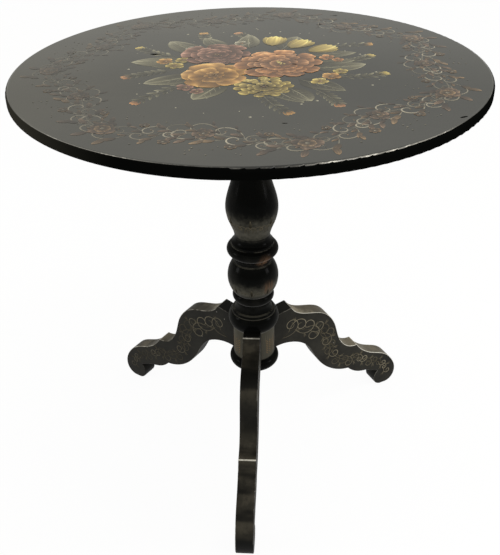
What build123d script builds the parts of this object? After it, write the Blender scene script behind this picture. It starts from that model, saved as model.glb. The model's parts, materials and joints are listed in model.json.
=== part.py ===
from build123d import *
import os

# A tilt-top pedestal table: a round painted top that hinges on a block at the head of a turned
# column, carried by three fret-cut scroll legs. Millimetres, +Z up, floor at Z = 0, column axis on Z.
# The front leg points along -Y, and the rim on that side goes down when the top is tilted.

# Driving dimensions of the whole table
TABLE_HEIGHT = 721.0
TOP_DIAMETER = 706.0
TOP_THICKNESS = 16.0
LEG_THICKNESS = 30.0
TILT_GAP = 0.3

# Tabletop edge
TOP_ROUNDING = 5.0
TOP_LOWER_ROUNDING = 2.5

# Pivot block and tilt axis
BLOCK_WIDTH = 150.0
BLOCK_THICKNESS = 30.0
BLOCK_BACK_Y = 75.0
TILT_AXIS_Y = -65.0
BLOCK_EDGE_ROUNDING = 3.0
PIN_RADIUS = 5.0
PIN_IN_BLOCK = 34.0
PIN_RUNNING_GAP = 0.03
BUSH_RADIUS = 8.0

# Battens under the top
BATTEN_THICKNESS = 24.0
BATTEN_HEIGHT = 32.0
BATTEN_LENGTH = 540.0
BATTEN_TAPER_LENGTH = 90.0
BATTEN_END_HEIGHT = 12.0
BATTEN_SIDE_GAP = 0.5
BATTEN_EDGE_CHAMFER = 2.0
BATTEN_SCREW_INSET = 15.0
BATTEN_MIDDLE_SCREW_Y = 30.0

# Column
COLUMN_FOOT_Z = 189.0
LEG_DRUM_RADIUS = 37.2
LEG_DRUM_TOP_Z = 249.0
TENON_RADIUS = 19.0
SPIGOT_RADIUS = 11.0
SPIGOT_LENGTH = 22.0
BOSS_BOTTOM_Z = 163.0
BOSS_RADIUS = 45.0
WEDGE_WIDTH = 30.0
WEDGE_DEPTH = 22.0
WEDGE_THICK_END = 4.0
WEDGE_THIN_END = 1.6

# Legs
LEG_ANGLES = {"front": -90.0, "right": 30.0, "left": 150.0}
LEG_ARRIS_ROUNDING = 1.2
LEG_CORNER_ROUNDING = 2.0
LEG_HOUSING_RADIUS = 24.0
LEG_SHOULDER_Z = 257.0
TONGUE_DEPTH = 10.0
TONGUE_NECK_WIDTH = 9.0
TONGUE_TAIL_WIDTH = 14.0
TONGUE_TOP_Z = 244.0

# Slide bolt that locks the top down
BOLT_RADIUS = 4.0
BOLT_TIP_Y = 79.5
BOLT_LENGTH = 78.5
BOLT_DROP = 8.5
BOLT_PLATE_WIDTH = 30.0
BOLT_PLATE_THICKNESS = 2.0
BOLT_PLATE_Y = (90.0, 152.0)
BOLT_PLATE_CORNER = 4.0
BOLT_END_CHAMFER = 1.0
PLATE_SCREW_INSET_X = 4.5
PLATE_SCREW_INSET_Y = 20.0
STAPLE_Y = {"inner": 100.0, "outer": 142.0}
STAPLE_WIDTH = 8.0
STAPLE_WALL = 2.2
STAPLE_GAP = 0.12
KNOB_Y = 125.0
KNOB_STEM_RADIUS = 2.4
KNOB_RADIUS = 5.5
KNOB_DROP = 14.0
STRIKE_WIDTH = 36.0
STRIKE_HEIGHT = 17.0
STRIKE_THICKNESS = 1.6
STRIKE_HOLE_RADIUS = 4.4
STRIKE_POCKET_DEPTH = 15.0
STRIKE_TOP_DROP = 0.7
STRIKE_SCREW_INSET = 4.5

# Wood screws: shank radius, head radius, length
BATTEN_SCREW = (2.2, 4.4, 41.0)
PLATE_SCREW = (1.3, 2.7, 11.0)
STRIKE_SCREW = (1.2, 2.4, 12.0)
BOSS_SCREW = (3.0, 6.0, 48.0)

# Heights that follow from the driving dimensions
TOP_UNDERSIDE_Z = TABLE_HEIGHT - TOP_THICKNESS
BLOCK_TOP_Z = TOP_UNDERSIDE_Z - TILT_GAP
BLOCK_BOTTOM_Z = BLOCK_TOP_Z - BLOCK_THICKNESS
TILT_AXIS_Z = BLOCK_TOP_Z - BLOCK_THICKNESS / 2
BOLT_AXIS_Z = TOP_UNDERSIDE_Z - BOLT_DROP
BATTEN_INNER_X = BLOCK_WIDTH / 2 + BATTEN_SIDE_GAP
BATTEN_MID_X = BATTEN_INNER_X + BATTEN_THICKNESS / 2


def box_between(low, high):
    """A box from its lowest to its highest corner."""
    size = [b - a for a, b in zip(low, high)]
    return Pos(*low) * Box(*size, align=(Align.MIN, Align.MIN, Align.MIN))


def rod_along(axis, start, radius, length):
    """A round rod from a start point along +X, +Y or +Z."""
    turn = {"X": Rot(0, 90, 0), "Y": Rot(-90, 0, 0), "Z": Rot(0, 0, 0)}[axis]
    base = (Align.CENTER, Align.CENTER, Align.MIN)
    return Pos(*start) * turn * Cylinder(radius, length, align=base)


def turned(profile_edges):
    """A turned solid from edges drawn as (radius, height) in the XZ plane, closed along the axis."""
    face = make_face(profile_edges)
    return revolve(face, axis=Axis.Z)


def profile_point(radius, height):
    """A point of a turning's profile in the XZ plane."""
    return Vector(radius, 0, height)


def profile_line(*points):
    return Polyline(*[profile_point(*p) for p in points])


def profile_arc(start, middle, end):
    return ThreePointArc(profile_point(*start), profile_point(*middle), profile_point(*end))


def screw_pocket(shank_radius, head_radius, length):
    """The hole that a countersunk wood screw fills, mouth on Z = 0, running along +Z."""
    head_depth = head_radius - shank_radius
    tip_length = 2 * shank_radius
    outline = profile_line(
        (0, 0),
        (head_radius, 0),
        (shank_radius, head_depth),
        (shank_radius, length - tip_length),
        (0, length),
        (0, 0),
    )
    return turned(outline)


def wood_screw(shank_radius, head_radius, length):
    """A slotted countersunk screw, head face on Z = 0, driven along +Z."""
    slot_length = 2.2 * head_radius
    slot_width = head_radius / 4
    slot_depth = (head_radius - shank_radius) / 2
    slot = Box(slot_length, slot_width, 2 * slot_depth)
    return screw_pocket(shank_radius, head_radius, length) - slot


def batten_screw_places():
    """Three screws up through each batten into the top."""
    reach = BATTEN_LENGTH / 2 - BATTEN_TAPER_LENGTH - BATTEN_SCREW_INSET
    along = (-reach, BATTEN_MIDDLE_SCREW_Y, reach)
    bottom = TOP_UNDERSIDE_Z - BATTEN_HEIGHT
    return [Pos(side * BATTEN_MID_X, y, bottom) for side in (-1, 1) for y in along]


def plate_screw_places():
    """Four screws up through the bolt plate, clear of the staples."""
    x = BOLT_PLATE_WIDTH / 2 - PLATE_SCREW_INSET_X
    bottom = TOP_UNDERSIDE_Z - BOLT_PLATE_THICKNESS
    ends = (BOLT_PLATE_Y[0] + PLATE_SCREW_INSET_Y, BOLT_PLATE_Y[1] - PLATE_SCREW_INSET_Y)
    return [Pos(side * x, y, bottom) for side in (-1, 1) for y in ends]


def strike_screw_places():
    """Two screws through the strike plate into the back of the block."""
    x = STRIKE_WIDTH / 2 - STRIKE_SCREW_INSET
    face_y = BLOCK_BACK_Y + STRIKE_THICKNESS
    return [Pos(side * x, face_y, BOLT_AXIS_Z) * Rot(90, 0, 0) for side in (-1, 1)]


def boss_screw_place():
    """One screw up through the bottom boss into the column."""
    return Pos(0, 0, BOSS_BOTTOM_Z)


def group_at(places, solid):
    return [place * solid for place in places]


def tabletop():
    """The round top, its upper arris rounded over, with pilot holes for the screws."""
    radius = TOP_DIAMETER / 2
    disc = Pos(0, 0, TOP_UNDERSIDE_Z) * Cylinder(
        radius, TOP_THICKNESS, align=(Align.CENTER, Align.CENTER, Align.MIN)
    )
    rims = disc.edges().filter_by(GeomType.CIRCLE).sort_by(Axis.Z)
    disc = fillet(rims[-1], TOP_ROUNDING)
    rims = disc.edges().filter_by(GeomType.CIRCLE).sort_by(Axis.Z)
    disc = fillet(rims[0], TOP_LOWER_ROUNDING)
    for pocket in group_at(batten_screw_places(), screw_pocket(*BATTEN_SCREW)):
        disc -= pocket
    for pocket in group_at(plate_screw_places(), screw_pocket(*PLATE_SCREW)):
        disc -= pocket
    return disc


def batten(side):
    """A bearer under the top with ogee ends and a bushed hole on the tilt axis."""
    half = BATTEN_LENGTH / 2
    start = half - BATTEN_TAPER_LENGTH
    top = TOP_UNDERSIDE_Z
    bottom, end = top - BATTEN_HEIGHT, top - BATTEN_END_HEIGHT
    level = [(-1, 0), (-1, 0)]
    with BuildSketch(Plane.YZ) as outline:
        with BuildLine():
            Line((-half, top), (half, top))
            Line((half, top), (half, end))
            Spline((half, end), (start, bottom), tangents=level)
            Line((start, bottom), (-start, bottom))
            Spline((-start, bottom), (-half, end), tangents=level)
            Line((-half, end), (-half, top))
        make_face()
    bar = Pos(side * BATTEN_MID_X, 0, 0) * extrude(outline.sketch, BATTEN_THICKNESS / 2, both=True)
    lower_edges = bar.edges().filter_by(Axis.Y).group_by(Axis.Z)[0]
    bar = chamfer(lower_edges, BATTEN_EDGE_CHAMFER)
    left_x = side * BATTEN_MID_X - BATTEN_THICKNESS / 2
    bar -= rod_along("X", (left_x, TILT_AXIS_Y, TILT_AXIS_Z), BUSH_RADIUS, BATTEN_THICKNESS)
    for pocket in group_at(batten_screw_places(), screw_pocket(*BATTEN_SCREW)):
        bar -= pocket
    return bar


def pivot_bush(side):
    """A brass bush in the batten, which turns on the pin."""
    start = (side * BATTEN_MID_X - BATTEN_THICKNESS / 2, TILT_AXIS_Y, TILT_AXIS_Z)
    tube = rod_along("X", start, BUSH_RADIUS, BATTEN_THICKNESS)
    return tube - rod_along("X", start, PIN_RADIUS + PIN_RUNNING_GAP, BATTEN_THICKNESS)


def pivot_pin(side):
    """An iron pin driven into the side of the block, on the tilt axis."""
    inner = BLOCK_WIDTH / 2 - PIN_IN_BLOCK
    length = PIN_IN_BLOCK + BATTEN_SIDE_GAP + BATTEN_THICKNESS
    start_x = inner if side > 0 else -inner - length
    return rod_along("X", (start_x, TILT_AXIS_Y, TILT_AXIS_Z), PIN_RADIUS, length)


def pivot_block():
    """The block at the head of the column, its front edge rounded about the tilt axis."""
    half_width, half_thick = BLOCK_WIDTH / 2, BLOCK_THICKNESS / 2
    low = (-half_width, TILT_AXIS_Y, BLOCK_BOTTOM_Z)
    high = (half_width, BLOCK_BACK_Y, BLOCK_TOP_Z)
    block = box_between(low, high)
    block += rod_along("X", (-half_width, TILT_AXIS_Y, TILT_AXIS_Z), half_thick, BLOCK_WIDTH)
    back_edges = block.edges().filter_by(Axis.X).group_by(Axis.Y)[-1]
    block = fillet(back_edges.sort_by(Axis.Z)[0], BLOCK_EDGE_ROUNDING)
    block -= rod_along("Z", (0, 0, BLOCK_BOTTOM_Z), TENON_RADIUS, BLOCK_THICKNESS)
    for side in (-1, 1):
        block -= pivot_pin(side)
    pocket_start = (0, BLOCK_BACK_Y - STRIKE_POCKET_DEPTH, BOLT_AXIS_Z)
    block -= rod_along("Y", pocket_start, STRIKE_HOLE_RADIUS, STRIKE_POCKET_DEPTH)
    for pocket in group_at(strike_screw_places(), screw_pocket(*STRIKE_SCREW)):
        block -= pocket
    return block


def tenon_wedge():
    """The wedge that spreads the column's tenon in the block."""
    half_width = WEDGE_WIDTH / 2
    with BuildSketch(Plane.YZ) as outline:
        Polygon(
            (-WEDGE_THICK_END / 2, BLOCK_TOP_Z),
            (WEDGE_THICK_END / 2, BLOCK_TOP_Z),
            (WEDGE_THIN_END / 2, BLOCK_TOP_Z - WEDGE_DEPTH),
            (-WEDGE_THIN_END / 2, BLOCK_TOP_Z - WEDGE_DEPTH),
            align=None,
        )
    return extrude(outline.sketch, half_width, both=True)


def column_profile():
    """The column from its foot to the top of its tenon, as (radius, height)."""
    foot, shoulder, head = COLUMN_FOOT_Z, BLOCK_BOTTOM_Z, BLOCK_TOP_Z
    drum_top = LEG_DRUM_TOP_Z
    collar_z = shoulder - 3.0
    bulb_points = [(30.5, 438), (35.2, 453), (42.2, 473), (44.1, 488), (40.8, 510), (33.6, 534), (26.4, 562)]
    neck = (23.0, 592)
    bulb = Spline(
        *[profile_point(*p) for p in bulb_points + [neck]],
        tangents=[Vector(0.18, 0, 1), Vector(-0.05, 0, 1)],
    )
    return [
        profile_line((0, foot), (LEG_DRUM_RADIUS, foot), (LEG_DRUM_RADIUS, drum_top)),
        profile_arc((LEG_DRUM_RADIUS, drum_top), (45.0, 266.5), (40.6, 280.5)),
        profile_line((40.6, 280.5), (39.2, 281.0), (38.8, 282.4)),
        profile_arc((38.8, 282.4), (37.6, 285.6), (35.0, 287.0)),
        profile_line((35.0, 287.0), (33.8, 287.4)),
        profile_arc((33.8, 287.4), (32.0, 293.0), (32.0, 300.0)),
        profile_line((32.0, 300.0), (32.0, 305.5)),
        profile_arc((32.0, 305.5), (36.8, 314.0), (33.0, 322.5)),
        profile_line((33.0, 322.5), (34.2, 323.6), (36.0, 325.8)),
        profile_arc((36.0, 325.8), (44.4, 355.5), (34.6, 384.5)),
        profile_line((34.6, 384.5), (33.0, 386.0), (33.0, 392.0), (36.6, 394.0), (36.6, 398.6)),
        profile_arc((36.6, 398.6), (44.4, 408.6), (36.9, 418.4)),
        profile_line((36.9, 418.4), (36.4, 419.2), (36.4, 422.8)),
        profile_arc((36.4, 422.8), (32.2, 427.6), (30.5, 434.0)),
        profile_line((30.5, 434.0), bulb_points[0]),
        bulb,
        profile_line(neck, (23.0, 598.0), (26.0, 599.5)),
        profile_arc((26.0, 599.5), (33.0, 607.5), (26.0, 615.5)),
        profile_line((26.0, 615.5), (24.5, 617.0)),
        profile_arc((24.5, 617.0), (27.6, 639.0), (38.5, 654.0)),
        profile_line((38.5, 654.0), (41.0, 655.0)),
        profile_arc((41.0, 655.0), (44.5, 663.0), (41.5, collar_z)),
        profile_line((41.5, collar_z), (41.5, shoulder), (TENON_RADIUS, shoulder)),
        profile_line((TENON_RADIUS, shoulder), (TENON_RADIUS, head), (0, head), (0, foot)),
    ]


def column(legs):
    """The turned column, slotted for the legs and kerfed for the wedge."""
    shaft = turned(column_profile())
    for leg_solid in legs:
        shaft -= leg_solid
    shaft -= tenon_wedge()
    shaft -= rod_along("Z", (0, 0, COLUMN_FOOT_Z), SPIGOT_RADIUS, SPIGOT_LENGTH)
    shaft -= boss_screw_place() * screw_pocket(*BOSS_SCREW)
    return shaft


def bottom_boss():
    """The turned ring that closes the leg sockets from below, with its spigot."""
    top, bottom = COLUMN_FOOT_Z, BOSS_BOTTOM_Z
    rim_z = bottom + 0.5 * (top - bottom)
    outline = [
        profile_line((0, bottom), (34.0, bottom), (36.5, bottom + 1.5)),
        profile_arc((36.5, bottom + 1.5), (BOSS_RADIUS, rim_z), (38.6, top - 2.0)),
        profile_line((38.6, top - 2.0), (37.4, top), (SPIGOT_RADIUS, top)),
        profile_line((SPIGOT_RADIUS, top), (SPIGOT_RADIUS, top + SPIGOT_LENGTH), (0, top + SPIGOT_LENGTH)),
        profile_line((0, top + SPIGOT_LENGTH), (0, bottom)),
    ]
    return turned(outline) - boss_screw_place() * screw_pocket(*BOSS_SCREW)


def leg_outline():
    """The fret-cut side of a leg: (distance from the column axis, height)."""
    inner = LEG_HOUSING_RADIUS
    root = (40, COLUMN_FOOT_Z)
    peak, spur = (70.5, 266.8), (221.5, 127.5)
    toe, heel, lip, mouth = (301, 0), (286, 0), (270.5, 21), (279.5, 37.5)
    chin, cusp = (248, 51), (204, 73.5)
    same_point = 0.1
    with BuildSketch(Plane.XZ) as sketch:
        with BuildLine():
            Polyline((inner, COLUMN_FOOT_Z), (inner, LEG_SHOULDER_Z), peak)
            Spline(
                peak,
                (83, 252.8),
                (104, 244),
                (140, 232),
                (165.5, 200),
                (178.5, 158.5),
                (197, 134),
                spur,
            )
            Spline(
                spur,
                (234.5, 110.5),
                (258, 94),
                (290, 79.5),
                (313.5, 54),
                (321.5, 31),
                (318, 12),
                toe,
            )
            Line(toe, heel)
            ThreePointArc(heel, (275, 7), lip)
            ThreePointArc(lip, (273.4, 29.5), mouth)
            Line(mouth, chin)
            ThreePointArc(chin, (225, 56.8), cusp)
            Spline(
                cusp,
                (177, 80.5),
                (148, 101),
                (124, 135),
                (100, 173),
                (79, 185.2),
                root,
            )
            Line(root, (inner, COLUMN_FOOT_Z))
        make_face()
        corners = [
            vertex
            for vertex in sketch.vertices()
            for point in (peak, spur, lip, mouth, chin, cusp)
            if (Vector(vertex.X, vertex.Y) - Vector(*point)).length < same_point
        ]
        fillet(corners, LEG_CORNER_ROUNDING)
    return sketch.sketch


def leg_board():
    """One leg along +X: the fret-cut board with eased arrises and the dovetail tongue at its inner end."""
    board = extrude(leg_outline(), LEG_THICKNESS / 2, both=True)
    sides = board.faces().sort_by(Axis.Y)
    arrises = [
        edge
        for face in (sides[0], sides[-1])
        for edge in face.edges()
        if edge.center().X > BOSS_RADIUS
    ]
    board = fillet(arrises, LEG_ARRIS_ROUNDING)
    neck, tail = TONGUE_NECK_WIDTH / 2, TONGUE_TAIL_WIDTH / 2
    inner = LEG_HOUSING_RADIUS - TONGUE_DEPTH
    with BuildSketch(Plane.XY.offset(COLUMN_FOOT_Z)) as plan:
        Polygon(
            (LEG_HOUSING_RADIUS, -neck),
            (LEG_HOUSING_RADIUS, neck),
            (inner, tail),
            (inner, -tail),
            align=None,
        )
    return board + extrude(plan.sketch, TONGUE_TOP_Z - COLUMN_FOOT_Z)


def bolt_plate():
    """The brass backplate of the slide bolt, screwed under the top."""
    half = BOLT_PLATE_WIDTH / 2
    low = (-half, BOLT_PLATE_Y[0], TOP_UNDERSIDE_Z - BOLT_PLATE_THICKNESS)
    high = (half, BOLT_PLATE_Y[1], TOP_UNDERSIDE_Z)
    plate = box_between(low, high)
    plate = fillet(plate.edges().filter_by(Axis.Z), BOLT_PLATE_CORNER)
    for pocket in group_at(plate_screw_places(), screw_pocket(*PLATE_SCREW)):
        plate -= pocket
    return plate


def bolt_staple(y):
    """A loop on the backplate that guides the bolt."""
    bore = BOLT_RADIUS + STAPLE_GAP
    outer = bore + STAPLE_WALL
    top = TOP_UNDERSIDE_Z - BOLT_PLATE_THICKNESS
    start = (0, y - STAPLE_WIDTH / 2, BOLT_AXIS_Z)
    loop = rod_along("Y", start, outer, STAPLE_WIDTH)
    cheeks = box_between((-outer, start[1], BOLT_AXIS_Z), (outer, start[1] + STAPLE_WIDTH, top))
    return loop + cheeks - rod_along("Y", start, bore, STAPLE_WIDTH)


def bolt_rod():
    """The sliding bolt, drawn back, with a rounded nose and a socket for its knob."""
    rod = rod_along("Y", (0, BOLT_TIP_Y, BOLT_AXIS_Z), BOLT_RADIUS, BOLT_LENGTH)
    rod = chamfer(rod.edges().filter_by(GeomType.CIRCLE), BOLT_END_CHAMFER)
    socket_depth = BOLT_RADIUS
    return rod - rod_along("Z", (0, KNOB_Y, BOLT_AXIS_Z - socket_depth), KNOB_STEM_RADIUS, socket_depth)


def bolt_knob():
    """The turned finger knob that hangs from the bolt."""
    stem, ball = KNOB_STEM_RADIUS, KNOB_RADIUS
    middle = BOLT_AXIS_Z - KNOB_DROP
    reach = (ball**2 - stem**2) ** 0.5
    outline = [
        profile_line((0, BOLT_AXIS_Z), (stem, BOLT_AXIS_Z), (stem, middle + reach)),
        profile_arc((stem, middle + reach), (ball, middle), (stem, middle - reach)),
        profile_line((stem, middle - reach), (0, middle - reach), (0, BOLT_AXIS_Z)),
    ]
    return Pos(0, KNOB_Y, 0) * turned(outline)


def strike_plate():
    """The brass plate on the back of the block that the bolt enters."""
    half = STRIKE_WIDTH / 2
    top = BLOCK_TOP_Z - STRIKE_TOP_DROP
    low = (-half, BLOCK_BACK_Y, top - STRIKE_HEIGHT)
    high = (half, BLOCK_BACK_Y + STRIKE_THICKNESS, top)
    plate = box_between(low, high)
    plate -= rod_along("Y", (0, BLOCK_BACK_Y, BOLT_AXIS_Z), STRIKE_HOLE_RADIUS, STRIKE_THICKNESS)
    for pocket in group_at(strike_screw_places(), screw_pocket(*STRIKE_SCREW)):
        plate -= pocket
    return plate


def all_parts():
    """Every node's name and its solid or solids."""
    leg = leg_board()
    legs = {name: Rot(0, 0, angle) * leg for name, angle in LEG_ANGLES.items()}
    parts = {
        "tabletop": tabletop(),
        "batten_left": batten(-1),
        "batten_right": batten(1),
        "batten_screws": group_at(batten_screw_places(), wood_screw(*BATTEN_SCREW)),
        "pivot_bush_left": pivot_bush(-1),
        "pivot_bush_right": pivot_bush(1),
        "pivot_pin_left": pivot_pin(-1),
        "pivot_pin_right": pivot_pin(1),
        "pivot_block": pivot_block(),
        "tenon_wedge": tenon_wedge(),
        "column": column(legs.values()),
        "bottom_boss": bottom_boss(),
        "boss_screw": boss_screw_place() * wood_screw(*BOSS_SCREW),
        "bolt_plate": bolt_plate(),
        "bolt_plate_screws": group_at(plate_screw_places(), wood_screw(*PLATE_SCREW)),
        "bolt_rod": bolt_rod(),
        "bolt_knob": bolt_knob(),
        "strike_plate": strike_plate(),
        "strike_screws": group_at(strike_screw_places(), wood_screw(*STRIKE_SCREW)),
    }
    for name, leg_solid in legs.items():
        parts["leg_" + name] = leg_solid
    for name, y in STAPLE_Y.items():
        parts["bolt_staple_" + name] = bolt_staple(y)
    return parts


def main():
    os.makedirs("parts", exist_ok=True)
    for name, shape in all_parts().items():
        solids = shape if isinstance(shape, list) else [shape]
        shape = solids[0] if len(solids) == 1 else Compound(solids)
        export_step(shape, f"parts/{name}.step")


main()
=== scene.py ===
import json
import math

import bpy
import numpy as np
from mathutils import Matrix, Vector


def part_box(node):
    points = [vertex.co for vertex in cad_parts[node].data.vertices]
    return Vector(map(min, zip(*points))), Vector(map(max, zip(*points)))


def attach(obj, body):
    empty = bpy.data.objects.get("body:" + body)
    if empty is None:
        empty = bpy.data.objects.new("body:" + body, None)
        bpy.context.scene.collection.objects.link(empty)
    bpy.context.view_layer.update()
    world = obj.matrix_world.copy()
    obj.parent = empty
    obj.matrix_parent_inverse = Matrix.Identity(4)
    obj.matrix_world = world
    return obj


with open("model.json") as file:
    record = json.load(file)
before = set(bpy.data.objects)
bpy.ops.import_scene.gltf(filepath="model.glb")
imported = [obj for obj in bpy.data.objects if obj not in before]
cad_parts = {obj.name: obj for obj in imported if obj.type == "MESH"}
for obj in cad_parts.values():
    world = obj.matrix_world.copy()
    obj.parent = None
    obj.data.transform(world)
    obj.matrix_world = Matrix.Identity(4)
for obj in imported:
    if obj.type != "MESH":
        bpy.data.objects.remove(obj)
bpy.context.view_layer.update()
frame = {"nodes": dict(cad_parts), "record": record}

bl_info = {
    "name": "Painted tilt-top table",
    "version": (1, 0, 0),
    "blender": (4, 5, 0),
    "location": "3D View > Sidebar > Table",
    "description": "Lacquer, painted flowers, gilt scrolls and a plain studio for a tilt-top table",
    "category": "Object",
}

# Sizes read from the frame, in metres
TOP_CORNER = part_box("tabletop")[1]
TOP_RADIUS, TOP_Z = TOP_CORNER.x, TOP_CORNER.z
LEG_HALF_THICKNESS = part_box("leg_front")[1].x
COLUMN_FOOT_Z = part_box("column")[0].z
# The plain drum of the column, which holds the legs, ends at this height
DRUM_TOP_Z = 0.246
MM = 0.001

# Each leg: its angle in degrees, how light its lacquer is, a painted light and shade set by how the light
# falls on it, how far its upper faces are rubbed down, and how pale they are there, which is wear and partly
# painted light
LEGS = {
    "leg_front": (-90.0, 0.34, 0.6, 0.0),
    "leg_right": (30.0, 0.88, 1.35, 1.0),
    "leg_left": (150.0, 0.58, 1.15, 0.45),
}
# The peak and the spur of a leg in its own frame, pale at their tips with wear and a painted highlight
LEG_PEAK, LEG_SPUR = (0.0705, 0.0, 0.2660), (0.2215, 0.0, 0.1268)
# The upper faces are rubbed outside the peak and above the hollow of the foot
LEG_HOLLOW_Z = 0.045

# The line on the rounded arris of the top where the lacquer is rubbed through and a highlight is painted
ARRIS_LINE_RADIUS = TOP_RADIUS - 3.0 * MM
ARRIS_LINE_HALF_WIDTH = 0.5 * MM
# Heights on the column where a pale line of dust with a painted highlight sits in a quirk, and half their
# width
COLUMN_LINES = {
    0.2815: 0.0007, 0.2868: 0.0008, 0.3240: 0.0010, 0.3855: 0.0012, 0.3932: 0.0009, 0.4190: 0.0008,
}
# Middle heights of the low parts of ball and vase, pale with dust and a painted floor reflection, and half
# their height
DUST_AND_FLOOR_REFLECTION_BANDS = {0.344: 0.020, 0.462: 0.044}
# Places on the ring and the ball where the lacquer is rubbed down to brown wood
BROWN_SMEARS = ((0.0215, -0.033, 0.400), (0.027, -0.030, 0.348))
BROWN_WOOD = (0.095, 0.054, 0.032)
# What shows where paint is worn away, and in a chip
WORN_PAINT = (0.026, 0.025, 0.021)
CHIP_BLACK = (0.02, 0.02, 0.02)
# What dulls the brass and the iron where they aren't touched
BRASS_TARNISH, IRON_RUST = (0.13, 0.085, 0.035), (0.05, 0.032, 0.022)

# Paint lies this far above the lacquer, each layer of it this far above the one before,
# and each shape in a layer by one of a few small steps, so that shapes that cross don't share a plane
PAINT_LIFT = 0.05 * MM
PAINT_LAYER = 0.014 * MM
PAINT_STEP = 0.0028 * MM
STEPS_PER_LAYER = 5
PETAL_ROWS, PETAL_COLUMNS, DOT_ROWS = 9, 9, 6
STROKE_POINTS = 26
# Where the light in the painting comes from
PAINTED_LIGHT = math.radians(120.0)


# Settings that a user would change


def colour_setting(label, hint, value):
    return bpy.props.FloatVectorProperty(
        name=label, description=hint, default=value, subtype="COLOR", size=3, min=0.0, max=1.0
    )


def number_setting(label, hint, value, **kind):
    return bpy.props.FloatProperty(name=label, description=hint, default=value, **kind)


def angle_setting(label, hint, degrees):
    return number_setting(label, hint, math.radians(degrees), subtype="ANGLE")


def count_setting(label, hint, value, least, most):
    return bpy.props.IntProperty(name=label, description=hint, default=value, min=least, max=most)


class LacquerSettings(bpy.types.PropertyGroup):
    face: colour_setting("Face", "Black lacquer of the painted face", (0.013, 0.014, 0.013))
    haze: colour_setting("Haze", "Aged varnish that lies over the face in clouds", (0.040, 0.037, 0.028))
    edge: colour_setting("Edge", "Lacquer on the edge of the top", (0.0022, 0.0024, 0.0022))
    column: colour_setting("Column", "Lacquer on the turned column", (0.0018, 0.0020, 0.0018))
    leg: colour_setting("Legs", "Dusty lacquer on the sides of the legs", (0.027, 0.0255, 0.0205))
    rubbed: colour_setting("Rubbed", "Lacquer rubbed down to brown on the upper faces", (0.075, 0.066, 0.049))
    # Bare also paints highlights on the arrises of the top and the legs
    bare: colour_setting("Bare", "Pale wear along sharp edges", (0.66, 0.63, 0.56))


class PaintSettings(bpy.types.PropertyGroup):
    border_pairs: count_setting("Border pairs", "Pairs of scroll units round the top", 7, 3, 12)
    border_radius: number_setting(
        "Border radius", "Radius of the middle of the scroll border", 0.785 * TOP_RADIUS, unit="LENGTH"
    )
    bouquet_scale: number_setting("Bouquet scale", "Size of the bouquet", 1.0, min=0.2, max=1.3)
    dots: count_setting("Dots", "Small pale dots round the bouquet", 60, 0, 400)
    gilt: colour_setting("Gilt", "Dull gilt of the fine scrolls", (0.31, 0.272, 0.195))
    gold: colour_setting("Gold", "Brighter gold of the florets", (0.34, 0.215, 0.105))
    russet: colour_setting("Russet", "Brown red of the border leaves", (0.225, 0.142, 0.088))
    coral: colour_setting("Coral", "The largest flower", (0.95, 0.47, 0.19))
    orange: colour_setting("Orange", "The open flower", (1.0, 0.56, 0.16))
    pink: colour_setting("Pink", "The dusky flowers", (0.62, 0.33, 0.23))
    yellow: colour_setting("Yellow", "The yellow flowers", (0.95, 0.73, 0.22))
    sage: colour_setting("Sage", "Leaves and sprays", (0.30, 0.275, 0.175))
    cream: colour_setting("Cream", "Small pale blossoms and dots", (0.62, 0.57, 0.42))


class FittingSettings(bpy.types.PropertyGroup):
    stained: colour_setting("Stained wood", "Battens, block and underside", (0.050, 0.029, 0.016))
    wedge: colour_setting("Wedge", "Bare wood of the wedge", (0.27, 0.17, 0.09))
    brass: colour_setting("Brass", "Bolt, plates and bushes", (0.46, 0.32, 0.12))
    iron: colour_setting("Iron", "Pins and screws", (0.11, 0.10, 0.092))


class StudioSettings(bpy.types.PropertyGroup):
    camera_place: bpy.props.FloatVectorProperty(
        name="Camera place",
        description="Where the camera stands",
        default=(0.0775, -1.1256, 1.0836),
        subtype="TRANSLATION",
        unit="LENGTH",
    )
    camera_heading: angle_setting("Heading", "Turn to the left of +Y", 4.21)
    camera_dip: angle_setting("Dip", "Angle below the horizon", 33.16)
    camera_roll: angle_setting("Roll", "Turn about the view axis", -1.15)
    lens: number_setting("Lens", "Focal length on a 36 mm frame", 49.86, subtype="DISTANCE_CAMERA")
    lamp: number_setting("Overhead lamp", "Power of the soft lamp above the top", 16.0, unit="POWER")
    side_lamps: number_setting("Side lamps", "Power of each soft lamp beside the column", 4.0, unit="POWER")
    floor: colour_setting("Floor", "Pale studio floor", (0.93, 0.93, 0.93))


SETTINGS = {
    "table_lacquer": LacquerSettings,
    "table_paint": PaintSettings,
    "table_fittings": FittingSettings,
    "table_studio": StudioSettings,
}


def opaque(colour):
    """A colour socket as it is, or three numbers as the four that such a socket takes."""
    return colour if isinstance(colour, bpy.types.NodeSocket) else (*colour, 1.0)


def dimmed(numbers, share):
    """A share of each number, such as a darker or a lighter tone of a colour."""
    return [share * c for c in numbers]


def new_object(name, data):
    """An object in the scene."""
    made = bpy.data.objects.new(name, data)
    bpy.context.scene.collection.objects.link(made)
    return made


# Node trees


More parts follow.
